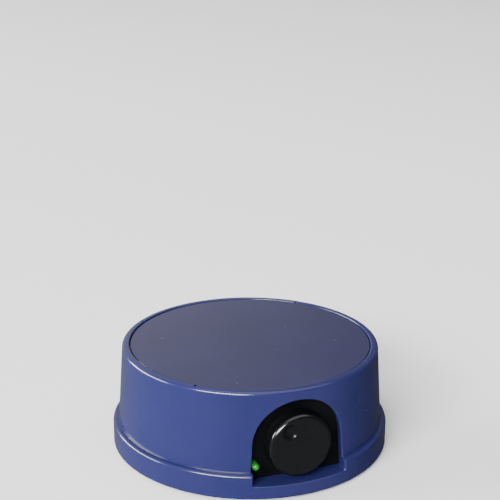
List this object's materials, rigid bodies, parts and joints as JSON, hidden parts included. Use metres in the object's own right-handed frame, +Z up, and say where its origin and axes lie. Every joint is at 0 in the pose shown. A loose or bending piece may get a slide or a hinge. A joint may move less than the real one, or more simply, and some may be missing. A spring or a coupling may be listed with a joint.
{
  "type": "magnetic stirrer",
  "caption": "Compact round laboratory magnetic stirrer with an inset work plate and a speed knob in an arch-shaped recess.",
  "frame": {"origin": "on the table, under the centre of the round housing", "axes": "+Z up; the speed knob faces -Y; +X is to the user's right"},
  "size_m": [0.137, 0.137, 0.052],
  "materials": {
    "blue_plastic": "smooth moulded plastic, satin to gloss",
    "plate_gloss": "polished, mirror-like",
    "base_plastic": "moulded, fine texture",
    "black_plastic": "moulded, satin",
    "knob_black": "moulded, satin",
    "led_green": "clear tinted resin",
    "rubber": "matt",
    "steel": "zinc plated",
    "nickel": "nickel plated",
    "aluminium": "mill finish",
    "brass": "turned",
    "copper": "enamelled wire and laminations",
    "ferrite": "sintered",
    "brown": "phenolic board",
    "white_plastic": "moulded nylon",
    "board_green": "coated glass-fibre board",
    "capacitor": "sleeved can",
    "lead_red": "wire insulation",
    "lead_black": "wire insulation",
    "ribbon_grey": "ribbon insulation"
  },
  "bodies": {
    "housing": {"housing_shell": "blue_plastic", "top_plate": "plate_gloss", "base_plate": "base_plastic", "foot_1": "rubber", "foot_2": "rubber", "foot_3": "rubber", "foot_4": "rubber", "base_screw_1": "steel", "base_screw_2": "steel", "base_screw_3": "steel", "base_screw_4": "steel", "control_panel": "black_plastic", "panel_screw_1": "steel", "panel_screw_2": "steel", "led": "led_green", "potentiometer_body": "steel", "potentiometer_cover": "brown", "potentiometer_nut": "steel", "circuit_board": "board_green", "board_screw_1": "steel", "board_screw_2": "steel", "filter_capacitor": "capacitor", "output_capacitor": "capacitor", "voltage_regulator": "black_plastic", "heat_sink": "aluminium", "control_chip": "black_plastic", "motor_can": "steel", "motor_end_cap": "black_plastic", "field_magnet_1": "ferrite", "field_magnet_2": "ferrite", "brush_1": "ferrite", "brush_2": "ferrite", "upper_bush": "brass", "lower_bush": "brass", "motor_bracket": "aluminium", "bracket_screw_1": "steel", "bracket_screw_2": "steel", "motor_screw_1": "steel", "motor_screw_2": "steel", "power_jack": "black_plastic", "jack_nut": "steel", "jack_lead_1": "lead_red", "jack_lead_2": "lead_black", "motor_lead_1": "lead_red", "motor_lead_2": "lead_black", "potentiometer_ribbon": "ribbon_grey", "led_lead": "lead_black"},
    "knob": {"speed_knob": "knob_black", "potentiometer_shaft": "aluminium", "potentiometer_wiper": "brass"},
    "rotor": {"rotor_shaft": "steel", "armature": "copper", "commutator": "brass", "magnet_carrier": "white_plastic", "keeper_plate": "steel", "stirring_magnet_1": "nickel", "stirring_magnet_2": "nickel", "hub_set_screw": "steel"}
  },
  "joints": [
    {"name": "knob_turn", "type": "hinge", "parent": "housing", "child": "knob", "pos_m": [0, -0.0574, 0.0248], "axis": [0, 1, 0], "range_deg": [-117, 183]},
    {"name": "rotor_spin", "type": "hinge", "parent": "housing", "child": "rotor", "pos_m": [0, 0, 0.03], "axis": [0, 0, 1], "continuous": true}
  ]
}
